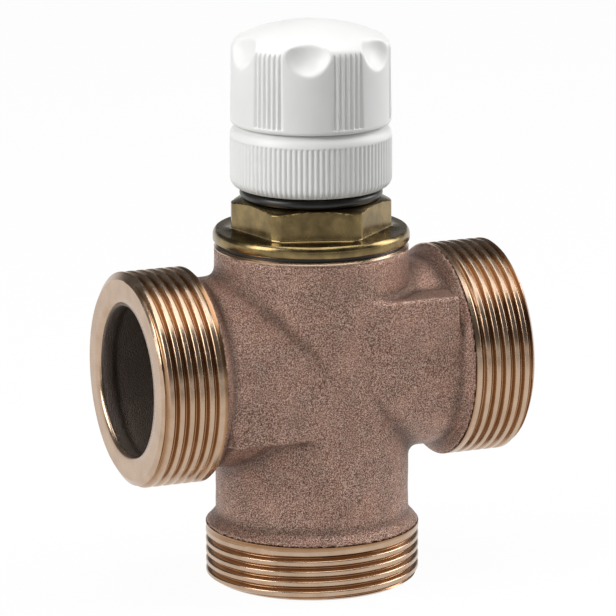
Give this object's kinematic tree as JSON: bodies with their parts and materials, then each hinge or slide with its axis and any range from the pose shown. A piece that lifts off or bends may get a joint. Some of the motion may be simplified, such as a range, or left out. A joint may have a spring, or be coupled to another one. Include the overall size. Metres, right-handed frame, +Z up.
{
  "type": "three-port mixing valve",
  "caption": "Bronze three-port mixing valve with two side ports, a bottom port, outside pipe threads, a brass hexagon bonnet and a white hand knob on a knurled union ring.",
  "frame": {"origin": "centre of the bottom port's end face, where the valve stands", "axes": "+Z up along the stem, +X from side port A to side port B, +Y to the back"},
  "size_m": [0.089, 0.0478, 0.126],
  "materials": {
    "bronze_casting": "sand-cast, threads and faces turned bright",
    "brass_turned": "turned",
    "steel": "satin",
    "white_plastic": "satin",
    "guide_plastic": "satin",
    "black_rubber": "matte"
  },
  "bodies": {
    "valve": {"valve_body": "bronze_casting", "lower_seat_ring": "brass_turned", "plug_ring": "black_rubber", "bonnet": "brass_turned", "bonnet_gasket": "black_rubber", "neck_ring": "black_rubber", "guide_bush": "guide_plastic", "stem_rings": "black_rubber", "gland_nut": "brass_turned", "return_spring": "steel"},
    "stem_group": {"stem": "steel", "plug_sleeve": "brass_turned", "lower_plug_seal": "black_rubber", "upper_plug_seal": "black_rubber", "plug_washer": "steel", "plug_nut": "steel", "spring_plate": "steel", "stem_circlip": "steel"},
    "head": {"head_base": "white_plastic", "knob_clip": "steel"},
    "ring": {"union_ring": "white_plastic"},
    "hand_knob": {"knob": "white_plastic"},
    "push_screw": {"pusher": "steel"}
  },
  "joints": [
    {"name": "head_lift", "type": "slide", "parent": "valve", "child": "head", "axis": [0, 0, 1], "range_m": [0, 0.0075]},
    {"name": "ring_turn", "type": "hinge", "parent": "head", "child": "ring", "pos_m": [0, 0, 0.095], "axis": [0, 0, 1], "range_deg": [0, 1800]},
    {"name": "knob_turn", "type": "hinge", "parent": "head", "child": "hand_knob", "pos_m": [0, 0, 0.11], "axis": [0, 0, -1], "range_deg": [0, 792]},
    {"name": "pusher_slide", "type": "slide", "parent": "head", "child": "push_screw", "axis": [0, 0, -1], "range_m": [0, 0.0055]},
    {"name": "stem_slide", "type": "slide", "parent": "valve", "child": "stem_group", "axis": [0, 0, -1], "range_m": [0, 0.0055], "deforming": ["return_spring"]}
  ],
  "couplings": [
    {"joint": "ring_turn", "follows": "head_lift", "rad_per_m": 4188.8},
    {"joint": "knob_turn", "follows": "stem_slide", "rad_per_m": 2513.3},
    {"joint": "pusher_slide", "follows": "stem_slide", "ratio": 1}
  ]
}
